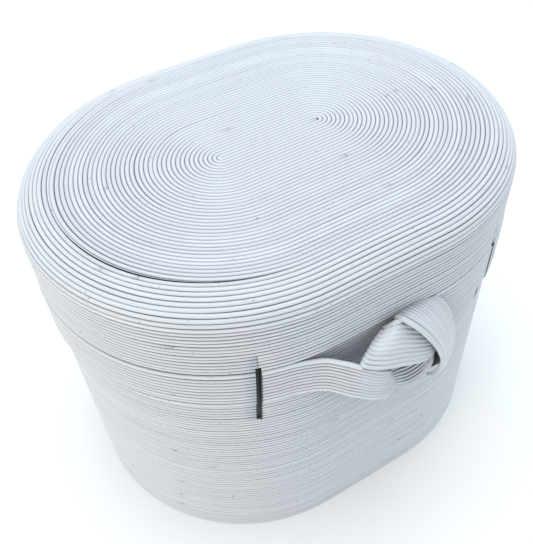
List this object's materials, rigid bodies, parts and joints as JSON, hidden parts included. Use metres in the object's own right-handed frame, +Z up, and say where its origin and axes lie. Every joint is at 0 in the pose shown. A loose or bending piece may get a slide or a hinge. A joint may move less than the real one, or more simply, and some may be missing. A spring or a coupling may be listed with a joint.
{
  "type": "storage trunk",
  "caption": "Stadium-shaped storage trunk covered in painted pencil reed, with a back-hinged lid, a rounded lid edge and a reed belt tied in a knot at the front.",
  "frame": {"origin": "middle of the base board's underside", "axes": "+X along the long axis, +Z up, the knotted belt at -Y and the hinges at +Y"},
  "size_m": [0.59, 0.506, 0.453],
  "materials": {
    "painted_reed": "satin, brushed pale grey-white paint over round rattan core",
    "lining_ply": "bare sanded plywood",
    "rail_wood": "bare sanded hardwood",
    "dark_liner": "matt dark stain",
    "hinge_steel": "zinc-plated, dulled",
    "screw_steel": "zinc-plated, satin"
  },
  "bodies": {
    "body": {"base_board": "lining_ply", "body_wall": "lining_ply", "body_top_rail": "rail_wood", "body_reed_wrap": "painted_reed", "belt_wrap": "painted_reed", "strap_left": "painted_reed", "strap_right": "painted_reed", "slot_liner_left": "dark_liner", "slot_liner_right": "dark_liner", "tied_knot": "painted_reed", "hinge_left_body_leaf": "hinge_steel", "hinge_left_body_screws": "screw_steel", "hinge_left_pin": "screw_steel", "hinge_right_body_leaf": "hinge_steel", "hinge_right_body_screws": "screw_steel", "hinge_right_pin": "screw_steel"},
    "lid": {"lid_rim_rail": "rail_wood", "lid_wall": "lining_ply", "lid_top_board": "lining_ply", "lid_edge_hoop": "rail_wood", "lid_top_coil": "painted_reed", "lid_edge_wrap": "painted_reed", "lid_side_wrap": "painted_reed", "hinge_left_lid_leaf": "hinge_steel", "hinge_left_lid_screws": "screw_steel", "hinge_right_lid_leaf": "hinge_steel", "hinge_right_lid_screws": "screw_steel"}
  },
  "joints": [
    {"name": "lid_hinge", "type": "hinge", "parent": "body", "child": "lid", "pos_m": [0, 0.236, 0.3584], "axis": [-1, 0, 0], "range_deg": [0, 105]}
  ]
}
